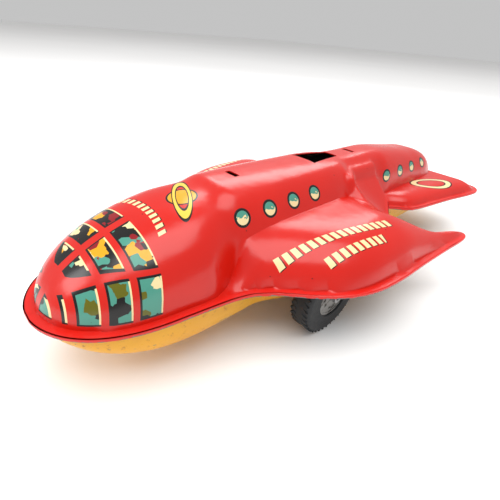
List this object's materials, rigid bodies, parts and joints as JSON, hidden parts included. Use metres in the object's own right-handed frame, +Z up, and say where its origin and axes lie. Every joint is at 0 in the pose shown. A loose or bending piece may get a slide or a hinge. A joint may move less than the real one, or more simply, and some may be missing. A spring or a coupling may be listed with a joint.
{
  "type": "tin space rocket toy",
  "caption": "Pressed tin space rocket on rubber-tyred front wheels geared to a flywheel friction motor, with a small tail wheel.",
  "frame": {"origin": "on the floor the toy stands on, under the middle of its overall length and width", "axes": "+X forwards towards the nose, +Y to the toy's left, +Z up"},
  "size_m": [0.23, 0.118, 0.0512],
  "materials": {
    "red_tin": "gloss lithographed",
    "yellow_tin": "gloss lithographed",
    "frame_steel": "dull tinplate",
    "brass": "dull",
    "tyre_rubber": "moulded rubber",
    "hub_tin": "scuffed tinplate",
    "axle_steel": "drawn wire",
    "gear_steel": "stamped",
    "flywheel_iron": "turned"
  },
  "bodies": {
    "body": {"upper_shell": "red_tin", "lower_shell": "yellow_tin", "left_motor_plate": "frame_steel", "right_motor_plate": "frame_steel", "spacers": "brass", "foot_rivets": "brass", "tail_bracket": "frame_steel", "tail_rivets": "brass", "tail_wheel_pin": "axle_steel"},
    "front_wheels": {"front_axle": "axle_steel", "axle_gear": "gear_steel", "axle_collars": "brass", "left_tyre": "tyre_rubber", "right_tyre": "tyre_rubber", "left_wheel_drum": "hub_tin", "right_wheel_drum": "hub_tin", "left_wheel_disc": "hub_tin", "right_wheel_disc": "hub_tin", "left_axle_cap": "axle_steel", "right_axle_cap": "axle_steel"},
    "middle": {"middle_shaft": "axle_steel", "middle_pinion": "brass", "middle_gear": "gear_steel"},
    "flywheel_set": {"flywheel_shaft": "axle_steel", "flywheel_pinion": "brass", "flywheel": "flywheel_iron"},
    "tail_wheel": {"tail_hub": "brass", "tail_tyre": "tyre_rubber"}
  },
  "joints": [
    {"name": "front_axle_spin", "type": "hinge", "parent": "body", "child": "front_wheels", "pos_m": [0.02947, 0, 0.016], "axis": [0, 1, 0], "continuous": true},
    {"name": "middle_spin", "type": "hinge", "parent": "body", "child": "middle", "pos_m": [0.02077, 0, 0.02209], "axis": [0, 1, 0], "continuous": true},
    {"name": "flywheel_spin", "type": "hinge", "parent": "body", "child": "flywheel_set", "pos_m": [0.01222, 0, 0.02786], "axis": [0, 1, 0], "continuous": true},
    {"name": "tail_wheel_spin", "type": "hinge", "parent": "body", "child": "tail_wheel", "pos_m": [-0.079, 0, 0.005], "axis": [0, 1, 0], "continuous": true}
  ],
  "couplings": [
    {"joint": "middle_spin", "follows": "front_axle_spin", "ratio": -2},
    {"joint": "flywheel_spin", "follows": "front_axle_spin", "ratio": 4.8}
  ]
}
